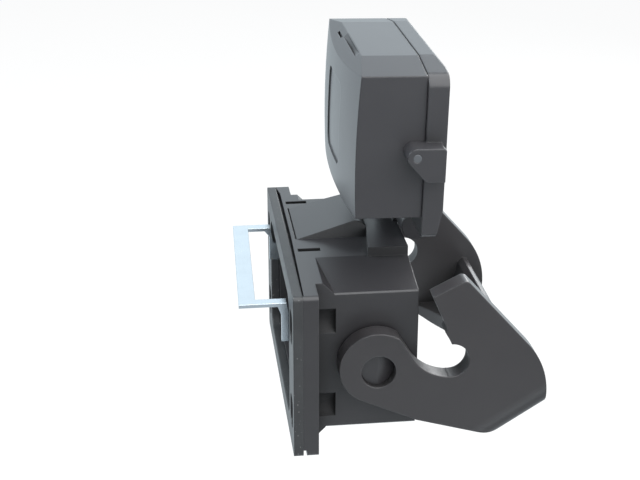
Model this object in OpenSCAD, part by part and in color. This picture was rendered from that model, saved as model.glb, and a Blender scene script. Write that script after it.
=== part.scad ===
// Panel-mount heavy-duty connector housing with a swing lever and a flip-up cover.
// X points out of the panel, the way a mating hood leaves; Y runs along the flange; Z is up.
// X = 0 is the flange's back face, on the gasket; Y = Z = 0 is the middle of the screw pattern.

/* [Flange] */
// Flange length along Y
flange_l = 82.4; // [81:0.2:86]
// Flange height along Z
flange_h = 45.8; // [45.6:0.2:50]
// Flange thickness
flange_t = 4; // [3.4:0.1:5]
// Rubber gasket thickness
gasket_t = 2.5; // [1.5:0.1:3]
// Screw spacing along Y
screw_pitch_y = 70; // [69:0.5:72]
// Screw spacing along Z
screw_pitch_z = 24.4; // [22:0.1:28]
// Screw hole diameter
screw_hole_d = 4.5; // [4:0.1:5]

/* [Body] */
// Body length along Y
body_l = 66; // [64:0.5:67]
// Height of the body's top above the middle
body_top = 22.9; // [22.4:0.1:22.9]
// Depth of the body's underside below the middle
body_low = 19; // [18.6:0.1:19.6]
// Height of the body's top at its two ends
shoulder_z = 19.9; // [19.4:0.1:20.4]
// Rim of the mouth, from the flange's back face
rim_x = 30.8; // [30.2:0.1:31]
// Mouth length along Y
mouth_l = 58; // [54:0.5:59]
// Mouth height along Z
mouth_h = 30.4; // [28:0.2:31]

/* [Hinge] */
// Hinge axis, from the flange's back face
hinge_x = 33.8; // [33.7:0.1:34.4]
// Hinge axis height
hinge_z = 29; // [28.8:0.1:29.6]
// Middle of the hinge along Y
hinge_y = 8.2; // [7.6:0.2:8.6]
// Length of each of the three hinge knuckles
knuckle_l = 13; // [11:0.2:13.2]
// Hinge pin diameter
hinge_pin_d = 2.5; // [2:0.1:3]
// Lean of the open cover towards the mouth
cover_lean = 1.1; // [0:0.1:3]

/* [Lever] */
// Lever pivot, from the flange's back face
pivot_x = 19.7; // [19.2:0.1:20.4]
// Inner face of each lever arm, from the middle
arm_in = 34.2; // [34:0.1:35]
// Thickness of each lever arm
arm_t = 5.2; // [4:0.1:5.6]
// Pivot hole diameter
pivot_d = 9; // [8:0.1:9.4]

/* [Cover] */
// Cover shell length along Y
cover_l = 64; // [62:0.5:64.5]
// Depth of the cover's shell at the middle of its domed face
shell_d = 19.1; // [18:0.1:20]
// Radius of the domed outer face
dome_r = 280; // [240:10:400]
// Depth of the cover's hinge frame
frame_d = 5.2; // [4.8:0.1:5.3]
// Wall of the cover's shell
shell_wall = 2; // [1.6:0.1:2.4]
// Diameter of the steel pins in the locking lugs
lock_pin_d = 2; // [1.5:0.1:2.5]

/* [Hidden] */
$fn = 64;
eps = 0.01;
near = -1;
far = 1;
side_y = body_l / 2;
arm_out = arm_in + arm_t;
edge_cut = 0.4;
rear_gap = [0.9, 2];
foot_z = -21.7;
land_x = 5.9;
crown_near = -16;
crown_far = 28.6;
pocket_depth = 5.3;
pocket_d = 8;
pad_back = 5.7;
pad_front = 11.7;
insert_y = 22;
insert_z = 13.5;
insert_d = 4.4;
rear_l = 56;
rear_h = 34;
rear_r = 4;
seal_out = [63.2, 35.6];
seal_w = 1.4;
seal_depth = 2;
seal_proud = 0.4;
knuckle_r = 4;
knuckle_gap = 0.3;
base_y0 = hinge_y - knuckle_l / 2;
base_y1 = hinge_y + knuckle_l / 2;
near_y = [base_y0 - knuckle_gap - knuckle_l, base_y0 - knuckle_gap];
far_y = [base_y1 + knuckle_gap, base_y1 + knuckle_gap + knuckle_l];
pin_y0 = near_y[0] + 2;
running_gap = 0.06;
ramp_x0 = 2.3;
ramp_x1 = 22.05;
ramp_y = [-3.3, 22.4];
crest_z = 27.25;
block_y = [-16.6, 30];
block_z = 25.4;
stop_x = hinge_x - 3.2;
bracket_z = 14.6;
bracket_t = 1;
bracket_x = -13.9;
earth_x = 2.7;
earth_z = 7.3;
earth_d = 3;
mouth_u = 2.3;
seam_u = mouth_u - frame_d;
back_u = seam_u - shell_d;
shell_low = 10.4;
cover_end = 47;
cover_crown = 48.9;
cover_flat = 19;
cover_mid = 29.2;
dome_mid = 25;
frame_low = 5.1;
lug_in = cover_l / 2;
lug_out = 38.2;
lug_pin = [-5.85, 28.05];
tail = [45.1, -11.7];
tail_bend = [29.5, -9.9];
tail_angle = 57;

// Points along an arc
function arc(centre, r, from, to, n) =
    [for (i = [0:n]) let (a = from + (to - from) * i / n) centre + r * [cos(a), sin(a)]];

// Places an outline drawn in Y and Z, thickened from x0 to x1
module along_x(x0, x1) {
    translate([x0, 0, 0]) rotate([90, 0, 90]) linear_extrude(x1 - x0) children();
}

// Places an outline drawn in X and Z, thickened from y0 to y1
module along_y(y0, y1) {
    translate([0, y1, 0]) rotate([90, 0, 0]) linear_extrude(y1 - y0) children();
}

// Places an outline drawn in X and Y, thickened from z0 to z1
module along_z(z0, z1) {
    translate([0, 0, z0]) linear_extrude(z1 - z0) children();
}

// A round bar along Y
module bar_y(x, z, d, y0, y1) {
    translate([x, y1, z]) rotate([90, 0, 0]) cylinder(d = d, h = y1 - y0);
}

// A round bar along X
module bar_x(y, z, d, x0, x1) {
    translate([x0, y, z]) rotate([0, 90, 0]) cylinder(d = d, h = x1 - x0);
}

// A rectangle with round corners
module round_rect(l, h, r) {
    square([l - 2 * r, h], center = true);
    square([l, h - 2 * r], center = true);
    for (sy = [-1, 1], sz = [-1, 1])
        translate([sy * (l / 2 - r), sz * (h / 2 - r)]) circle(r);
}

// Repeats a shape at the four panel screws
module at_screws() {
    for (sy = [-1, 1], sz = [-1, 1])
        translate([0, sy * screw_pitch_y / 2, sz * screw_pitch_z / 2]) children();
}

// Draws a shape of the far side on the side asked for
module on_side(side) {
    mirror([0, side == near ? 1 : 0, 0]) children();
}

// Turns a cover shape, drawn upright about the hinge axis, to where the open cover stands
module on_hinge() {
    translate([hinge_x, 0, hinge_z]) rotate([0, cover_lean, 0]) children();
}

// Body outline across the mating direction: flat underside, top falling away towards its ends
module body_outline() {
    polygon([
        [side_y, shoulder_z - edge_cut], [side_y - edge_cut, shoulder_z], [crown_far, body_top],
        [crown_near, body_top], [edge_cut - side_y, shoulder_z], [-side_y, shoulder_z - edge_cut],
        [-side_y, edge_cut - body_low], [edge_cut - side_y, -body_low],
        [side_y - edge_cut, -body_low], [side_y, edge_cut - body_low]
    ]);
}

// Slopes where the body stands on the flange, above and below
module body_foot() {
    along_y(-side_y, side_y)
        polygon([
            [flange_t - eps, foot_z], [flange_t, foot_z], [flange_t - foot_z - body_low, -body_low],
            [flange_t - foot_z - body_low, 1 - body_low], [flange_t - eps, 1 - body_low]
        ]);
    along_y(-side_y, side_y)
        polygon([
            [flange_t - eps, flange_h / 2], [flange_t, flange_h / 2], [land_x, body_top],
            [land_x + body_top - shoulder_z, shoulder_z], [land_x + body_top - shoulder_z, shoulder_z - 4],
            [flange_t - eps, shoulder_z - 4]
        ]);
}

// Ramp behind the hinge, from the flange up to a round crest, its sides drawn in towards the top
module hinge_ramp() {
    crest_r = 3.45;
    low = body_top - 2;
    draft = 2;
    intersection() {
        along_y(ramp_y[0], ramp_y[1])
            polygon(concat(
                [[ramp_x0, low], [ramp_x0, flange_h / 2]],
                arc([ramp_x1 - crest_r, crest_z - crest_r], crest_r, 106, 0, 12),
                [[ramp_x1, low]]
            ));
        along_x(0, ramp_x1 + 1)
            polygon([
                [ramp_y[0], low], [ramp_y[0] + draft, crest_z + 0.5],
                [ramp_y[1] - draft, crest_z + 0.5], [ramp_y[1], low]
            ]);
    }
}

// Raised block along the rim and the middle knuckle, with the wall the open cover leans on
module hinge_block() {
    low = body_top - 2;
    wall = 3.6;
    slant = 1.6;
    block_x = 20;
    along_z(low, block_z)
        polygon([
            [block_x, block_y[0]], [rim_x, block_y[0]], [rim_x, block_y[1]],
            [block_x + slant, block_y[1]], [block_x + slant, ramp_y[0] + 1]
        ]);
    along_y(base_y0, base_y1)
        polygon([
            [stop_x - 1, low], [rim_x, low], [rim_x, block_z - 0.4], [hinge_x, hinge_z - knuckle_r],
            [hinge_x, hinge_z + knuckle_r], [stop_x + 1, hinge_z + 1.4], [stop_x - 1, block_z]
        ]);
    along_y(base_y0 + 4, base_y1)
        polygon([
            [stop_x - wall, low], [stop_x, low], [hinge_x, hinge_z], [hinge_x, hinge_z + knuckle_r],
            [stop_x, hinge_z + knuckle_r], [stop_x, hinge_z + 6.4], [stop_x - 0.8, hinge_z + 7.2],
            [stop_x - wall + 0.8, hinge_z + 7.2], [stop_x - wall, hinge_z + 6.4]
        ]);
    bar_y(hinge_x, hinge_z, 2 * knuckle_r, base_y0, base_y1);
}

// Snap-on pivot for one lever arm: a stub with a collar behind it and a lead-in slope in front
module lever_pivot(side) {
    stub_end = arm_out - 1.4;
    slope = 1.8;
    on_side(side) {
        difference() {
            bar_y(pivot_x, 0, pivot_d - 0.16, side_y - 1, stub_end);
            along_z(-pivot_d, pivot_d)
                polygon([
                    [pivot_x, stub_end], [pivot_x, stub_end + 1],
                    [pivot_x + pivot_d, stub_end + 1], [pivot_x + pivot_d, stub_end - 2 * slope]
                ]);
        }
        bar_y(pivot_x, 0, pivot_d + 4, side_y - 1, arm_in - 0.35);
    }
}

// Space inside the body: a cable chamber, corner pads for the contact insert, and the mouth
module inner_space() {
    pad_reach = 4;
    along_x(-1, pad_back) round_rect(rear_l, rear_h, rear_r);
    along_x(pad_back - eps, pad_front + eps) {
        square([2 * (insert_y - pad_reach), mouth_h], center = true);
        square([mouth_l - 2, 2 * (insert_z - pad_reach)], center = true);
    }
    along_x(pad_front, rim_x + 1) round_rect(mouth_l, mouth_h, 4);
}

// Groove in the rim and the seal that lies in it
module seal_ring(x0, x1) {
    corner_r = 6;
    along_x(x0, x1) difference() {
        round_rect(seal_out[0], seal_out[1], corner_r);
        round_rect(seal_out[0] - 2 * seal_w, seal_out[1] - 2 * seal_w, corner_r - seal_w);
    }
}

// Slots beside the ramp and the groove at its foot
module mould_slots() {
    slot = [6.1, 2, 4];
    groove = 0.4;
    for (y = [-10.4, 26.2])
        translate([1.8, y - slot[1] / 2, body_top - 1.5]) cube(slot);
    translate([ramp_x0 - groove, ramp_y[0] + 0.8, body_top - 0.4])
        cube([groove, ramp_y[1] - ramp_y[0] - 1.6, 4]);
}

// Slim gap between the flange's back and the gasket along the edge at a height, closed at its far end
module rear_wedge(z, near_end, near_w) {
    far_end = flange_l / 2 - 1;
    along_z(z - rear_gap[1], z + rear_gap[1])
        polygon([
            [-1, near_end], [near_w, near_end], [rear_gap[0], 0], [rear_gap[0], far_end - 6],
            [0, far_end], [-1, far_end]
        ]);
}

module base_housing() {
    corner_r = 1.2;
    color("#3b3c3f")
    difference() {
        union() {
            along_x(0, flange_t) round_rect(flange_l, flange_h, corner_r);
            along_x(flange_t - eps, rim_x) body_outline();
            body_foot();
            hinge_ramp();
            hinge_block();
            for (side = [near, far])
                lever_pivot(side);
        }
        inner_space();
        rear_wedge(flange_h / 2, 1 - flange_l / 2, rear_gap[0] / 3);
        rear_wedge(-flange_h / 2, -flange_l, rear_gap[0]);
        seal_ring(rim_x - seal_depth, rim_x + 1);
        mould_slots();
        at_screws() bar_x(0, 0, screw_hole_d, -1, flange_t + 1);
        at_screws() bar_x(0, 0, pocket_d, flange_t, flange_t + pocket_depth);
        for (sy = [-1, 1], sz = [-1, 1])
            bar_x(sy * insert_y, sz * insert_z, insert_d, pad_back - 1, pad_front + 1);
        for (side = [near, far])
            on_side(side) bar_y(earth_x, earth_z, earth_d, rear_l / 2 - 1, rear_l / 2 + 3.8);
        bar_y(hinge_x, hinge_z, hinge_pin_d, base_y0 - 1, base_y1 + 1);
    }
}

module panel_gasket() {
    window = [6.5, 9];
    play = 1;
    color("#2a2a2b")
    difference() {
        along_x(-gasket_t, 0) round_rect(flange_l, flange_h, 1.2);
        along_x(-gasket_t - 1, 1) round_rect(rear_l + 2 * play, rear_h + play, rear_r);
        at_screws() along_x(-gasket_t - 1, 1) round_rect(window[0], window[1], 2.5);
    }
}

module mouth_seal() {
    color("#1f1f20") seal_ring(rim_x - seal_depth, rim_x + seal_proud);
}

module threaded_inserts() {
    bore_d = 2.5;
    color("#b08d45")
    for (sy = [-1, 1], sz = [-1, 1])
        difference() {
            bar_x(sy * insert_y, sz * insert_z, insert_d, pad_back, pad_front);
            bar_x(sy * insert_y, sz * insert_z, bore_d, pad_back - 1, pad_front + 1);
        }
}

// Flat bow behind the panel, with a leg at each end that is screwed to the chamber wall
module earth_bracket() {
    bow_w = 4.4;
    arm_w = 3;
    wall = rear_l / 2;
    skew = 1.5;
    bow_end = -2.9;
    leg_x = [-4.3, -3.1];
    bend_x = -1.9;
    tip_x = 5.7;
    leg_z = [4.6, 10];
    color("#c3c8cf")
    difference() {
        union() {
            along_z(bracket_z, bracket_z + bracket_t)
                polygon([
                    [bracket_x, wall], [bracket_x + bow_w, wall], [bracket_x + bow_w - skew, -wall],
                    [bracket_x - skew, -wall]
                ]);
            for (side = [near, far])
                on_side(side) {
                    low_x = leg_x[side == near ? 0 : 1];
                    translate([bracket_x + 1, wall - arm_w, bracket_z])
                        cube([bow_end - bracket_x - 1, arm_w, bracket_t]);
                    along_y(wall - bracket_t, wall)
                        polygon([
                            [bow_end - 2.3, bracket_z + bracket_t], [bow_end, bracket_z + bracket_t],
                            [bend_x, leg_z[1]], [tip_x, leg_z[1]], [tip_x, leg_z[0]],
                            [low_x, leg_z[0]], [low_x, leg_z[1] + 2], [bow_end - 2.3, bracket_z]
                        ]);
                }
        }
        bar_y(earth_x, earth_z, earth_d + 0.2, -wall - 1, wall + 1);
    }
}

// Distance from the middle to the bearing face of an earth screw's head
function head_face() = rear_l / 2 - bracket_t - 0.6;

module earth_screws() {
    head_d = 5.5;
    head_h = 2.1;
    slot_w = 0.8;
    color("#b9bec6")
    for (side = [near, far])
        on_side(side) {
            bar_y(earth_x, earth_z, earth_d, head_face() - eps, rear_l / 2 + 3.5);
            difference() {
                bar_y(earth_x, earth_z, head_d, head_face() - head_h, head_face());
                translate([earth_x - head_d, head_face() - head_h - 1, earth_z - slot_w / 2])
                    cube([2 * head_d, 2, slot_w]);
            }
        }
}

module earth_washers() {
    washer_d = 6;
    color("#aeb3bb")
    for (side = [near, far])
        on_side(side)
            difference() {
                bar_y(earth_x, earth_z, washer_d, head_face(), rear_l / 2 - bracket_t);
                bar_y(earth_x, earth_z, earth_d, 0, rear_l / 2);
            }
}

module hinge_pin() {
    color("#9a9ca0")
    bar_y(hinge_x, hinge_z, hinge_pin_d, pin_y0, far_y[1]);
}

// Side view of a lever arm about its pivot: hub, cam slot for the locking peg, hook and tail
module arm_outline() {
    hook_tip = [13.6, 20.4];
    polygon(concat(
        [tail],
        arc([23, -9], 21.9, -5.5, 43, 20),
        arc([21.9, 22.9], 1.5, 42, 119, 6),
        [hook_tip, [17.6, 11.3], [17.2, 10.2], [18.3, 8.3]],
        arc([19.1, 2.2], 4.7, 92, -97, 24),
        arc([19.5, 10], 12.6, 265, 214, 14),
        arc([-0.3, 0.9], 9.9, 55, 248, 32),
        [[10.2, -14.7]],
        arc(tail_bend, 10, -106, -tail_angle, 10)
    ));
}

// Grip that joins the two arms at their tails, with a floor cut round to clear the mating hood
module lever_grip() {
    hood_r = 51;
    hood_x = -15.1;
    difference() {
        along_y(-arm_in - 1, arm_in + 1)
            polygon(concat(
                [[36.6, -2], [38.1, -0.6], [39.5, -1.2], [44.3, -9.5], tail],
                arc(tail_bend, 10, -tail_angle, -106, 10),
                [[22.9, -18.3], [22.9, -15.6], [33, -15.6], [34.2, -14.6]]
            ));
        translate([hood_x, 0, -25]) cylinder(r = hood_r, h = 30, $fn = 200);
    }
}

// What is cut from one arm to round the outer edge of its tail
module tail_round(side) {
    r = 2.2;
    on_side(side)
        translate([tail[0], 0, tail[1]]) rotate([0, tail_angle, 0]) translate([0, 0, -26]) linear_extrude(30)
            polygon(concat([[1, arm_out + 1], [-r, arm_out + 1]], arc([-r, arm_out - r], r, 90, 0, 8),
                           [[1, arm_out - r]]));
}

module locking_lever() {
    color("#46474a")
    translate([pivot_x, 0, 0])
    difference() {
        union() {
            along_y(-arm_out, -arm_in) arm_outline();
            along_y(arm_in, arm_out) arm_outline();
            lever_grip();
        }
        bar_y(0, 0, pivot_d, -arm_out - 1, arm_out + 1);
        for (side = [near, far])
            tail_round(side);
    }
}

// Shell outline across its depth, shrunk by a wall: straight towards the hinge, crowned away from it
module shell_outline(wall) {
    y = cover_l / 2 - wall;
    flat = cover_flat - wall / 3;
    polygon([
        [-y, shell_low + wall], [y, shell_low + wall], [y, cover_end - wall],
        [flat, cover_crown - wall], [-flat, cover_crown - wall], [-y, cover_end - wall]
    ]);
}

// The ball whose surface is the domed outer face, sunk by a depth
module dome(sunk) {
    translate([back_u + dome_r, 0, dome_mid]) sphere(dome_r - sunk, $fn = 200);
}

module cover_shell() {
    bevel = [-17.5, 48.9];
    panel = [23, 22];
    panel_z = 28.3;
    panel_depth = 0.4;
    seam_cut = [0.15, 0.3];
    nail_r = 76;
    nail = [0.8, 1.4];
    slot = [1.2, 6.6, 0.7];
    color("#434447")
    on_hinge()
    difference() {
        intersection() {
            union() {
                along_x(back_u - 1, seam_u - seam_cut[0]) shell_outline(0);
                along_x(seam_u - seam_cut[0] - eps, seam_u) intersection() {
                    shell_outline(0);
                    translate([0, -seam_cut[1]]) shell_outline(0);
                }
            }
            dome(0);
        }
        intersection() {
            along_x(back_u, seam_u + 1) shell_outline(shell_wall);
            dome(shell_wall);
        }
        along_y(-cover_l, cover_l)
            polygon([bevel, bevel + [0, 5], bevel + [-10, 5], bevel + [-10, -10]]);
        difference() {
            translate([0, 0, panel_z])
                along_x(back_u - 1, back_u + 2) round_rect(panel[0], panel[1], 3);
            dome(panel_depth);
        }
        translate([bevel[0] - 0.6, -5, bevel[1] - 0.6]) rotate([0, 45, 0])
            translate([nail[0] - nail_r, 0, 0])
                cylinder(r = nail_r, h = nail[1], center = true, $fn = 200);
        translate([bevel[0] - 1.5, 10.6, bevel[1] - 1.5]) rotate([0, 45, 0]) cube(slot, center = true);
    }
}

// Frame outline across its depth, its corners round
module frame_outline() {
    y = cover_l / 2 + 1;
    crown = cover_crown + 0.2;
    top_r = 3.5;
    low_r = 1.5;
    polygon(concat(
        arc([low_r - y, frame_low + low_r], low_r, 180, 270, 6),
        arc([y - low_r, frame_low + low_r], low_r, 270, 360, 6),
        arc([y - top_r, crown - 5.1], top_r, 0, 81, 10),
        [[cover_flat, crown], [-cover_flat, crown]],
        arc([top_r - y, crown - 5.1], top_r, 99, 180, 10)
    ));
}

// Outline of a locking lug about the hinge axis, round at the pin
module lug_outline() {
    corner_r = 2.4;
    root_w = 21.8;
    front_u = 1.3;
    polygon(concat(
        [[front_u, root_w], [front_u, lug_pin[1] + corner_r - 0.5], [front_u - 0.5, lug_pin[1] + corner_r]],
        arc(lug_pin, corner_r, 90, 217, 12),
        [[-3.9, root_w + 0.5], [seam_u, root_w]]
    ));
}

// Ring that closes on the rim, with its two hinge knuckles and the two locking lugs
module cover_frame() {
    window = [57, 31];
    window_r = 4;
    bevel = 1.3;
    crown = cover_crown + 0.2;
    slope = [1.45, 7.4];
    color("#48494c")
    on_hinge()
    difference() {
        union() {
            intersection() {
                along_x(seam_u, mouth_u) frame_outline();
                along_y(-cover_l, cover_l)
                    polygon([
                        [seam_u, 0], [mouth_u - slope[0], 0], [mouth_u - slope[0], frame_low],
                        [mouth_u, frame_low + slope[1]], [mouth_u, crown - bevel],
                        [mouth_u - bevel, crown], [mouth_u - bevel, crown + 1], [seam_u, crown + 1]
                    ]);
            }
            for (leaf = [near_y, far_y]) {
                bar_y(0, 0, 2 * knuckle_r, leaf[0], leaf[1]);
                along_y(leaf[0], leaf[1])
                    polygon([[2.1, 6.7], [-2.1, 6.7], [-3.2, 1.3], [3.1, 1.3]]);
            }
            for (side = [near, far])
                on_side(side) along_y(lug_in, lug_out) lug_outline();
        }
        translate([0, 0, cover_mid])
            along_x(seam_u - 1, mouth_u + 1) round_rect(window[0], window[1], window_r);
        bar_y(0, 0, hinge_pin_d + 2 * running_gap, pin_y0 - 0.2, far_y[1] + 1);
        for (side = [near, far])
            on_side(side) bar_y(lug_pin[0], lug_pin[1], lock_pin_d, lug_in + 1, lug_out + 1);
    }
}

// Steel pin set in one locking lug
module lock_pin(side) {
    color("#a9abae")
    on_hinge()
    on_side(side)
        bar_y(lug_pin[0], lug_pin[1], lock_pin_d, lug_in + 1, lug_out);
}

module near_lock_pin() {
    lock_pin(near);
}

module far_lock_pin() {
    lock_pin(far);
}

base_housing();
panel_gasket();
mouth_seal();
threaded_inserts();
earth_bracket();
earth_screws();
earth_washers();
hinge_pin();
locking_lever();
cover_shell();
cover_frame();
near_lock_pin();
far_lock_pin();
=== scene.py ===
import math

import bmesh
import bpy
from mathutils import Matrix, Vector


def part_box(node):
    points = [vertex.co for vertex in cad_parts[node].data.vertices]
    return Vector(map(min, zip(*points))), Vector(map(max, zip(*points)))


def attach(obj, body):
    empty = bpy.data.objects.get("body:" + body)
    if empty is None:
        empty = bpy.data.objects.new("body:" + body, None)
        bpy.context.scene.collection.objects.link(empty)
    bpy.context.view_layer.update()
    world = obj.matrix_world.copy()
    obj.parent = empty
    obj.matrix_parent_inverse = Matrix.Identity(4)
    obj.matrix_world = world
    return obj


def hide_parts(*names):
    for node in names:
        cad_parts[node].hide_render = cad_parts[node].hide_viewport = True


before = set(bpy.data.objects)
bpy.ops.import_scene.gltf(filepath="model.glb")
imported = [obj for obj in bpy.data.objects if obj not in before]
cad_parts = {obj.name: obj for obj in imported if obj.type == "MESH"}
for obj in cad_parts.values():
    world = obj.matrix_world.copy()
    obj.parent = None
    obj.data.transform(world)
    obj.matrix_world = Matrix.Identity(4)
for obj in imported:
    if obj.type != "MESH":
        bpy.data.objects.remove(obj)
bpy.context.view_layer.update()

bl_info = {
    "name": "Connector housing looks",
    "version": (1, 0, 0),
    "blender": (4, 5, 0),
    "location": "View3D > Sidebar > Connector",
    "description": "Finishes and fine details of a panel-mount housing with a lever and a cover",
    "category": "Object",
}

WHITE = (1.0, 1.0, 1.0, 1.0)
BEVEL_SAMPLES = 6


class Value:
    """A shader socket that joins in Python expressions; each operation adds one Math node."""

    def __init__(self, tree, socket=None):
        self.tree = tree
        self.socket = socket

    def node(self, kind, settings=None, inputs=None, output=0):
        """Adds a node: its settings first, then the values or links of its sockets."""
        made = self.tree.nodes.new(kind)
        for name, value in (settings or {}).items():
            setattr(made, name, value)
        for name, value in (inputs or {}).items():
            if isinstance(value, Value):
                self.tree.links.new(value.socket, made.inputs[name])
            else:
                made.inputs[name].default_value = value
        return Value(self.tree, made.outputs[output])

    def _math(self, operation, first, second, clamp=False):
        return self.node("ShaderNodeMath", {"operation": operation, "use_clamp": clamp},
                         {0: first, 1: second})

    def __add__(self, other):
        return self._math("ADD", self, other)

    __radd__ = __add__

    def __sub__(self, other):
        return self._math("SUBTRACT", self, other)

    def __rsub__(self, other):
        return self._math("SUBTRACT", other, self)

    def __mul__(self, other):
        return self._math("MULTIPLY", self, other)

    __rmul__ = __mul__

    def clamped(self):
        """The value held between 0 and 1."""
        return self._math("ADD", self, 0.0, clamp=True)


def new_material(name):
    """An empty material, its expression maker and its output node."""
    material = bpy.data.materials.new(name)
    material.use_nodes = True
    tree = material.node_tree
    tree.nodes.clear()
    output = tree.nodes.new("ShaderNodeOutputMaterial")
    return material, Value(tree), output


def surface(make, output, shader):
    """Joins a shader to the material's surface."""
    make.tree.links.new(shader.socket, output.inputs["Surface"])


def mix_colour(make, factor, first, second):
    """Blends two colours by a value."""
    return make.node("ShaderNodeMix", {"data_type": "RGBA"}, {0: factor, 6: first, 7: second}, 2)


def scaled(colour, factor):
    """A colour made lighter or darker."""
    return (colour[0] * factor, colour[1] * factor, colour[2] * factor, 1.0)


def object_coords(make):
    """Coordinates of the piece itself, in metres."""
    return make.node("ShaderNodeTexCoord", output="Object")


def rounded_normal(make, edge_radius):
    """The surface normal, softened along the edges."""
    return make.node("ShaderNodeBevel", {"samples": BEVEL_SAMPLES}, {"Radius": edge_radius})


def noise(make, coords, size, detail):
    """Noise whose grains are about the given size in metres."""
    return make.node("ShaderNodeTexNoise", {}, {
        "Vector": coords, "Scale": 1.0 / size, "Detail": detail})


def dust(make, coords, size, rarity):
    """1 on sparse specks of dust, about the given size in metres."""
    crispness = 12.0
    return ((noise(make, coords, size, 0.0) - rarity) * crispness).clamped()


def edge_mask(make, rounded, gain):
    """0 on flats, 1 on the edges that the rounded normal finds."""
    face = make.node("ShaderNodeNewGeometry", output="Normal")
    along = make.node("ShaderNodeVectorMath", {"operation": "DOT_PRODUCT"},
                      {0: rounded, 1: face}, "Value")
    return ((1.0 - along) * gain).clamped()


def open_sky(make, reach):
    """1 on open faces, towards 0 deep inside pockets and slots."""
    return make.node("ShaderNodeAmbientOcclusion", {"samples": 16, "only_local": True},
                     {"Distance": reach}, "AO")


def tail_roll(make, coords, rounded):
    """Normal of a lever arm whose outer face rolls over gently towards the edge of its tail."""
    tip_x, tip_z, across_x, across_z = 0.0648, -0.0117, -0.545, 0.839
    width, radius, outer_face = 0.0055, 0.005, 0.0375
    x, y, z = (make.node("ShaderNodeSeparateXYZ", {}, {"Vector": coords}, axis)
               for axis in "XYZ")
    inside = (x - tip_x) * across_x + (z - tip_z) * across_z
    dip = ((width - inside) * (1.0 / width)).clamped()
    from_middle = make.node("ShaderNodeMath", {"operation": "ABSOLUTE"}, {0: y})
    outside = make.node("ShaderNodeMath", {"operation": "GREATER_THAN"},
                        {0: from_middle, 1: outer_face})
    height = dip * dip * outside * (-width * width / (2.0 * radius))
    return make.node("ShaderNodeBump", {}, {
        "Strength": 1.0, "Distance": 1.0, "Height": height, "Normal": rounded})


def moulded_plastic(name, colour, roughness, edge_radius, sharp=True, roll=None):
    """Charcoal plastic: fine grain, cloudy flow, painted shade and duller roughness deep in
    pockets, and paler rubbed edges that are partly wear and partly painted highlight.
    """
    cloud_size, speck_size, grain_size = 0.014, 0.0007, 0.0004
    cloud_share, cloud_roughness = 0.7, 0.04
    low_tone, high_tone = 0.88, 1.14
    pocket_reach, pocket_limit, pocket_gain = 0.025, 0.85, 2.0
    # Colour factor of the painted shade deep in pockets and slots, and the extra roughness there.
    pocket_shade_tone, pocket_roughness = 0.12, 0.6
    # Paler edges are partly rubbed wear and partly painted highlight; sharp pieces get the
    # stronger paleness and glossier edges.
    rub_gain, rub_highlight_tone = 2.2, 1.9
    rub_highlight_paleness, rub_roughness = (0.55, -0.02) if sharp else (0.2, 0.35)

    material, make, output = new_material(name)
    coords = object_coords(make)
    rounded = rounded_normal(make, edge_radius)
    # Edge mask for the paler edges: rubbed wear and painted highlight.
    rub_and_highlight = edge_mask(make, rounded, rub_gain)
    clouds = noise(make, coords, cloud_size, 3.0)
    specks = noise(make, coords, speck_size, 2.0)
    grain = noise(make, coords, grain_size, 1.0)
    shade = (clouds * cloud_share + specks * (1.0 - cloud_share)).clamped()
    # How deep a point lies in a pocket or slot, from ambient occlusion: it drives the painted
    # shade there and a rougher finish.
    depth = ((pocket_limit - open_sky(make, pocket_reach)) * pocket_gain).clamped()
    plain = mix_colour(make, shade, scaled(colour, low_tone), scaled(colour, high_tone))
    # Painted shade: colour darkened deep in pockets and slots, where shade falls.
    pocket_shaded = mix_colour(make, depth, plain, scaled(colour, pocket_shade_tone))
    # Paler edges: rubbed wear and painted highlight.
    worn_and_highlit = mix_colour(make, rub_and_highlight * rub_highlight_paleness, pocket_shaded, scaled(colour, rub_highlight_tone))
    dullness = ((clouds - 0.5) * cloud_roughness + roughness
                + rub_and_highlight * rub_roughness + depth * pocket_roughness)
    bump = make.node("ShaderNodeBump", {}, {
        "Strength": 0.1, "Distance": 0.00005, "Height": grain + specks * 0.25,
        "Normal": roll(make, coords, rounded) if roll else rounded})
    shader = make.node("ShaderNodeBsdfPrincipled", {}, {
        "Base Color": worn_and_highlit, "Roughness": dullness, "Specular IOR Level": 0.4, "Normal": bump})
    surface(make, output, shader)
    return material


def moulded_rubber(name, colour, edge_radius):
    """Matte black rubber with a pale bloom and a few specks of dust."""
    bloom_size, pit_size, dust_size = 0.006, 0.0004, 0.0006
    low_tone, high_tone = 0.75, 1.5
    dust_rarity, dust_colour = 0.76, (0.1, 0.1, 0.098, 1.0)
    roughness, bloom_roughness = 0.36, 0.2

    material, make, output = new_material(name)
    coords = object_coords(make)
    rounded = rounded_normal(make, edge_radius)
    bloom = noise(make, coords, bloom_size, 4.0)
    pits = noise(make, coords, pit_size, 2.0)
    plain = mix_colour(make, bloom, scaled(colour, low_tone), scaled(colour, high_tone))
    tone = mix_colour(make, dust(make, coords, dust_size, dust_rarity), plain, dust_colour)
    bump = make.node("ShaderNodeBump", {}, {
        "Strength": 0.3, "Distance": 0.00008, "Height": pits, "Normal": rounded})
    shader = make.node("ShaderNodeBsdfPrincipled", {}, {
        "Base Color": tone, "Roughness": bloom * bloom_roughness + roughness,
        "Specular IOR Level": 0.45, "Normal": bump})
    surface(make, output, shader)
    return material


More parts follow.
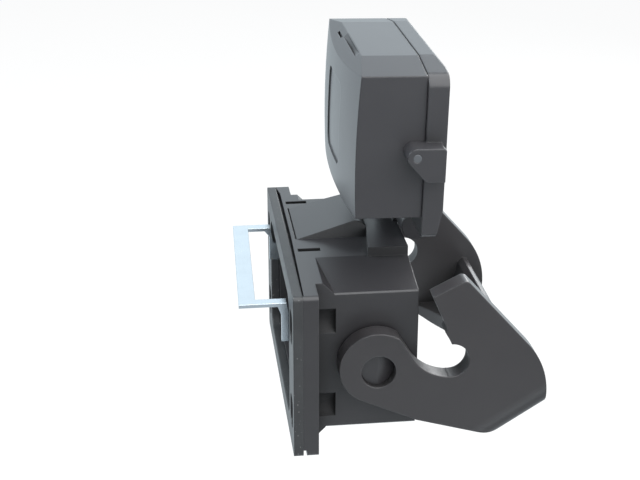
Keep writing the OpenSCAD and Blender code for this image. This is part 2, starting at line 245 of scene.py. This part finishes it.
def plated_metal(name, colour, roughness, stretch, edge_radius):
    """Bright plated or turned metal: fine drawn lines along one axis and a mottled plate."""
    line_size, mottle_size, mottle_share = 0.00035, 0.005, 0.7
    low_tone, high_tone = 0.86, 1.08
    mottle_roughness, line_roughness = 0.2, 0.06

    material, make, output = new_material(name)
    coords = object_coords(make)
    rounded = rounded_normal(make, edge_radius)
    drawn = make.node("ShaderNodeMapping", {}, {"Vector": coords, "Scale": stretch})
    lines = noise(make, drawn, line_size, 2.0)
    mottle = noise(make, coords, mottle_size, 3.0)
    shade = (mottle * mottle_share + lines * (1.0 - mottle_share)).clamped()
    tone = mix_colour(make, shade, scaled(colour, low_tone), scaled(colour, high_tone))
    dullness = (mottle - 0.5) * mottle_roughness + roughness + lines * line_roughness
    bump = make.node("ShaderNodeBump", {}, {
        "Strength": 0.12, "Distance": 0.00004, "Height": lines, "Normal": rounded})
    shader = make.node("ShaderNodeBsdfPrincipled", {}, {
        "Base Color": tone, "Metallic": 1.0, "Roughness": dullness, "Normal": bump})
    surface(make, output, shader)
    return material


def turned_ring(bm, profile, centre):
    """A ring about an axis along X, turned from a section given as a list of (x, radius)."""
    corners = [bm.verts.new((x, centre.y, centre.z + radius)) for x, radius in profile]
    edges = [bm.edges.new((corners[i - 1], corners[i])) for i in range(len(corners))]
    bmesh.ops.spin(bm, geom=corners + edges, cent=centre, axis=(1.0, 0.0, 0.0),
                   angle=math.tau, steps=40, use_merge=True)


def thread_ridge(bm, centre, start, end, pitch, root, crest):
    """The ridge of an inside thread about an axis along X: a triangle wound from end to end."""
    steps_per_turn = 28
    turns = (end - start) / pitch - 1.0
    section = [
        (start + pitch * 0.08, root), (start + pitch * 0.5, crest), (start + pitch * 0.92, root),
    ]
    corners = [bm.verts.new((x, centre.y, centre.z + radius)) for x, radius in section]
    face = bm.faces.new(corners)
    bmesh.ops.spin(bm, geom=[face], cent=centre, axis=(1.0, 0.0, 0.0),
                   dvec=(pitch / steps_per_turn, 0.0, 0.0),
                   angle=math.tau * turns, steps=round(steps_per_turn * turns))


def finished_mesh(name, bm, material, body):
    """Makes a piece of a bmesh that rides on a body."""
    bmesh.ops.recalc_face_normals(bm, faces=bm.faces)
    mesh = bpy.data.meshes.new(name)
    bm.to_mesh(mesh)
    bm.free()
    mesh.materials.append(material)
    piece = bpy.data.objects.new(name, mesh)
    bpy.context.scene.collection.objects.link(piece)
    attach(piece, body)
    return piece


def dress(node, material):
    """Gives a CAD node one material."""
    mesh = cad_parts[node].data
    mesh.materials.clear()
    mesh.materials.append(material)


class HousingFinish(bpy.types.PropertyGroup):
    """Colours and surface values of the housing's pieces."""

    body_colour: bpy.props.FloatVectorProperty(
        name="Body colour", description="Plastic of the flange and body", subtype="COLOR", size=3,
        default=(0.024, 0.0228, 0.0245), min=0.0, max=1.0)
    lever_colour: bpy.props.FloatVectorProperty(
        name="Lever colour", description="Plastic of the locking lever", subtype="COLOR", size=3,
        default=(0.0255, 0.0235, 0.0248), min=0.0, max=1.0)
    cover_colour: bpy.props.FloatVectorProperty(
        name="Cover colour", description="Plastic of the cover's shell and frame",
        subtype="COLOR", size=3, default=(0.0275, 0.0265, 0.029), min=0.0, max=1.0)
    rubber_colour: bpy.props.FloatVectorProperty(
        name="Rubber colour", description="Gasket and mouth seal", subtype="COLOR", size=3,
        default=(0.02, 0.02, 0.021), min=0.0, max=1.0)
    zinc_colour: bpy.props.FloatVectorProperty(
        name="Zinc colour", description="Earthing bow, its screws and washers",
        subtype="COLOR", size=3, default=(0.6, 0.65, 0.7), min=0.0, max=1.0)
    brass_colour: bpy.props.FloatVectorProperty(
        name="Brass colour", description="Threaded inserts", subtype="COLOR", size=3,
        default=(0.66, 0.48, 0.2), min=0.0, max=1.0)
    steel_colour: bpy.props.FloatVectorProperty(
        name="Steel colour", description="Hinge pin and lock pins", subtype="COLOR", size=3,
        default=(0.15, 0.152, 0.16), min=0.0, max=1.0)
    plastic_roughness: bpy.props.FloatProperty(
        name="Plastic roughness", description="Roughness of the body's and lever's plastic",
        subtype="FACTOR", default=0.315, min=0.0, max=1.0)
    cover_roughness: bpy.props.FloatProperty(
        name="Cover roughness", description="Roughness of the cover's plastic", subtype="FACTOR",
        default=0.305, min=0.0, max=1.0)
    thread_pitch: bpy.props.FloatProperty(
        name="Thread pitch", description="Pitch of the thread in the brass inserts", unit="LENGTH",
        default=0.0005, min=0.0003, max=0.001)
    edge_radius: bpy.props.FloatProperty(
        name="Edge radius", description="Softness of the moulded edges", unit="LENGTH",
        default=0.0006, min=0.0, max=0.002)


class StageSettings(bpy.types.PropertyGroup):
    """Floor, light and camera of the picture."""

    floor_drop: bpy.props.FloatProperty(
        name="Floor drop", description="How far the floor lies below the flange", unit="LENGTH",
        default=0.085, min=0.0, max=0.5)
    key_power: bpy.props.FloatProperty(
        name="Key power", description="Soft light from the upper left", unit="POWER",
        default=9.0, min=0.0)
    back_power: bpy.props.FloatProperty(
        name="Back power", description="Wide light behind the object", unit="POWER",
        default=0.34, min=0.0)
    fill_power: bpy.props.FloatProperty(
        name="Fill power", description="Soft light on the far side", unit="POWER",
        default=3.6, min=0.0)
    top_power: bpy.props.FloatProperty(
        name="Top power", description="Soft light from the upper right", unit="POWER",
        default=5.5, min=0.0)
    light_tint: bpy.props.FloatVectorProperty(
        name="Light tint", description="Cool colour of the lights above", subtype="COLOR", size=3,
        default=(0.83, 0.94, 1.0), min=0.0, max=1.0)
    ambient: bpy.props.FloatProperty(
        name="Ambient", description="Even light from all round", default=0.33, min=0.0, max=2.0)
    lens: bpy.props.FloatProperty(
        name="Lens", description="Focal length of the camera", unit="CAMERA",
        default=73.13, min=10.0)


class CONNECTOR_OT_housing(bpy.types.Operator):
    """Finishes the moulded base housing"""
    bl_idname = "connector.housing"
    bl_label = "Base housing"

    def execute(self, context):
        look = context.scene.connector_finish
        dress("base_housing", moulded_plastic(
            "housing_plastic", look.body_colour, look.plastic_roughness,
            look.edge_radius * 0.5, sharp=False))
        return {"FINISHED"}


class CONNECTOR_OT_lever(bpy.types.Operator):
    """Finishes the locking lever"""
    bl_idname = "connector.lever"
    bl_label = "Locking lever"

    def execute(self, context):
        look = context.scene.connector_finish
        dress("locking_lever", moulded_plastic(
            "lever_plastic", look.lever_colour, look.plastic_roughness,
            look.edge_radius, roll=tail_roll))
        return {"FINISHED"}


class CONNECTOR_OT_cover(bpy.types.Operator):
    """Finishes the cover's shell and frame"""
    bl_idname = "connector.cover"
    bl_label = "Cover"

    def execute(self, context):
        look = context.scene.connector_finish
        plastic = moulded_plastic(
            "cover_plastic", look.cover_colour, look.cover_roughness, look.edge_radius)
        for node in ("cover_shell", "cover_frame"):
            dress(node, plastic)
        return {"FINISHED"}


class CONNECTOR_OT_rubber(bpy.types.Operator):
    """Finishes the panel gasket and the mouth seal"""
    bl_idname = "connector.rubber"
    bl_label = "Gasket and seal"

    def execute(self, context):
        look = context.scene.connector_finish
        rubber = moulded_rubber("rubber", look.rubber_colour, look.edge_radius)
        for node in ("panel_gasket", "mouth_seal"):
            dress(node, rubber)
        return {"FINISHED"}


class CONNECTOR_OT_inserts(bpy.types.Operator):
    """Makes the four brass inserts with their inside threads"""
    bl_idname = "connector.inserts"
    bl_label = "Threaded inserts"

    def execute(self, context):
        look = context.scene.connector_finish
        brass = plated_metal("turned_brass", look.brass_colour, 0.3, (0.1, 1.0, 1.0), 0.0001)
        low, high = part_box("threaded_inserts")
        outer, bore, crest, lead_in, edge = 0.0022, 0.0015, 0.00125, 0.0003, 0.0001
        section = [
            (low.x, bore + lead_in), (low.x, outer - edge),
            (low.x + edge, outer), (high.x - edge, outer),
            (high.x, outer - edge), (high.x, bore + lead_in),
            (high.x - lead_in, bore), (low.x + lead_in, bore),
        ]
        bm = bmesh.new()
        for y in (low.y + outer, high.y - outer):
            for z in (low.z + outer, high.z - outer):
                centre = Vector((0.0, y, z))
                turned_ring(bm, section, centre)
                thread_ridge(bm, centre, low.x + lead_in, high.x - lead_in,
                             look.thread_pitch, bore + edge, crest)
        inserts = finished_mesh("brass_inserts", bm, brass, "base")
        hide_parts("threaded_inserts")
        return {"FINISHED"}


class CONNECTOR_OT_metal(bpy.types.Operator):
    """Finishes the earthing bow, its screws and washers, and the pins"""
    bl_idname = "connector.metal"
    bl_label = "Metal parts"

    def execute(self, context):
        look = context.scene.connector_finish
        zinc = plated_metal("zinc_plate", look.zinc_colour, 0.2, (1.0, 0.08, 1.0), 0.0002)
        steel = plated_metal("pin_steel", look.steel_colour, 0.45, (1.0, 0.1, 1.0), 0.0002)
        for node in ("earth_bracket", "earth_screws", "earth_washers"):
            dress(node, zinc)
        for node in ("hinge_pin", "near_lock_pin", "far_lock_pin"):
            dress(node, steel)
        return {"FINISHED"}


def add_softbox(name, place, target, size, power, tint):
    """A square soft light that looks at a point."""
    lamp = bpy.data.lights.new(name, "AREA")
    lamp.shape = "SQUARE"
    lamp.size = size
    lamp.energy = power
    lamp.color = tint
    box = bpy.data.objects.new(name, lamp)
    turn = (target - place).to_track_quat("-Z", "Y").to_matrix().to_4x4()
    box.matrix_world = Matrix.Translation(place) @ turn
    bpy.context.scene.collection.objects.link(box)


def seen_rays(make):
    """1 for the rays that show the background: the camera's, reflections' and glass's."""
    rays = [make.node("ShaderNodeLightPath", output=name)
            for name in ("Is Camera Ray", "Is Glossy Ray", "Is Transmission Ray")]
    return (rays[0] + rays[1] + rays[2]).clamped()


def white_studio(ambient, tint):
    """World that is white to the camera, faintly cool in reflections and lights evenly."""
    world = bpy.data.worlds.new("studio")
    world.use_nodes = True
    make = Value(world.node_tree)
    back = world.node_tree.nodes["Background"]
    direct = make.node("ShaderNodeLightPath", output="Is Camera Ray")
    colour = mix_colour(make, direct, scaled(tint, 1.0), WHITE)
    world.node_tree.links.new(colour.socket, back.inputs["Color"])
    strength = seen_rays(make) * (1.0 - ambient) + ambient
    world.node_tree.links.new(strength.socket, back.inputs["Strength"])
    return world


def pale_floor(tint):
    """White floor with a soft shadow; its reflection is faintly cool, with a dim band in front."""
    band_start, band_rise, band_end, band_fall = 0.14, 5.0, 0.48, 6.0
    band_tone, paper_size, white_share = 0.4, 0.05, 0.92

    material, make, output = new_material("pale_floor")
    seen = seen_rays(make)
    direct = make.node("ShaderNodeLightPath", output="Is Camera Ray")
    coords = object_coords(make)
    paper = noise(make, coords, paper_size, 2.0)
    along = make.node("ShaderNodeSeparateXYZ", {}, {"Vector": coords}, "Y")
    ahead = along * -1.0
    front = ((ahead - band_start) * band_rise).clamped()
    beyond = ((ahead - band_end) * band_fall).clamped()
    reflected = mix_colour(
        make, front * (1.0 - beyond), scaled(tint, 1.0), scaled(tint, band_tone))
    shown = mix_colour(make, direct, reflected, WHITE)
    tone = mix_colour(make, paper, scaled(WHITE, 0.86), scaled(WHITE, 0.9))
    matte = make.node("ShaderNodeBsdfDiffuse", {}, {"Color": tone})
    white = make.node("ShaderNodeEmission", {}, {"Color": shown, "Strength": 1.0})
    both = make.node("ShaderNodeMixShader", {}, {0: seen * white_share, 1: matte, 2: white})
    surface(make, output, both)
    return material


class CONNECTOR_OT_stage(bpy.types.Operator):
    """Adds the floor, the lights and the camera"""
    bl_idname = "connector.stage"
    bl_label = "Stage"

    def execute(self, context):
        stage = context.scene.connector_stage
        scene = context.scene
        scene.view_settings.view_transform = "Standard"

        half_width = 4.0
        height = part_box("base_housing")[0].z - stage.floor_drop
        mesh = bpy.data.meshes.new("floor")
        bm = bmesh.new()
        bmesh.ops.create_grid(bm, x_segments=1, y_segments=1, size=half_width)
        bmesh.ops.translate(bm, verts=bm.verts, vec=(0.0, 0.0, height))
        bm.to_mesh(mesh)
        bm.free()
        floor = bpy.data.objects.new("floor", mesh)
        scene.collection.objects.link(floor)
        mesh.materials.append(pale_floor(stage.light_tint))

        scene.world = white_studio(stage.ambient, stage.light_tint)

        target = Vector((0.025, 0.0, 0.025))
        plain, cool = WHITE[:3], stage.light_tint
        for name, place, size, power, tint in (
                ("key_light", (-0.6, 0.1, 0.45), 0.45, stage.key_power, cool),
                ("top_light", (0.17, -0.16, 0.31), 0.7, stage.top_power, plain),
                ("fill_light", (0.45, 0.45, 0.3), 0.4, stage.fill_power, plain),
                ("back_light", (0.12, 0.8, 0.4), 0.5, stage.back_power, cool)):
            add_softbox(name, Vector(place), target, size, power, tint)

        lens = bpy.data.cameras.new("camera")
        lens.lens = stage.lens
        lens.sensor_width = 36.0
        lens.clip_start = 0.01
        tilt, azimuth = math.radians(67.8), math.radians(-6.6)
        camera = bpy.data.objects.new("camera", lens)
        camera.location = (-0.0295, -0.3329, 0.1581)
        camera.rotation_euler = (tilt, 0.0, azimuth)
        scene.collection.objects.link(camera)
        scene.camera = camera
        return {"FINISHED"}


class CONNECTOR_PT_looks(bpy.types.Panel):
    """Lists the housing's finishes"""
    bl_idname = "CONNECTOR_PT_looks"
    bl_label = "Connector housing"
    bl_space_type = "VIEW_3D"
    bl_region_type = "UI"
    bl_category = "Connector"

    def draw(self, context):
        for group in (context.scene.connector_finish, context.scene.connector_stage):
            for name in group.__annotations__:
                self.layout.prop(group, name)
        for operator in OPERATORS:
            self.layout.operator(operator.bl_idname)


OPERATORS = (
    CONNECTOR_OT_housing, CONNECTOR_OT_lever, CONNECTOR_OT_cover, CONNECTOR_OT_rubber,
    CONNECTOR_OT_inserts, CONNECTOR_OT_metal, CONNECTOR_OT_stage,
)
CLASSES = (HousingFinish, StageSettings, *OPERATORS, CONNECTOR_PT_looks)


def register():
    for cls in CLASSES:
        bpy.utils.register_class(cls)
    bpy.types.Scene.connector_finish = bpy.props.PointerProperty(type=HousingFinish)
    bpy.types.Scene.connector_stage = bpy.props.PointerProperty(type=StageSettings)


def unregister():
    del bpy.types.Scene.connector_stage
    del bpy.types.Scene.connector_finish
    for cls in reversed(CLASSES):
        bpy.utils.unregister_class(cls)


def main():
    register()
    bpy.ops.connector.housing()
    bpy.ops.connector.lever()
    bpy.ops.connector.cover()
    bpy.ops.connector.rubber()
    bpy.ops.connector.inserts()
    bpy.ops.connector.metal()
    bpy.ops.connector.stage()


if __name__ == "__main__":
    main()
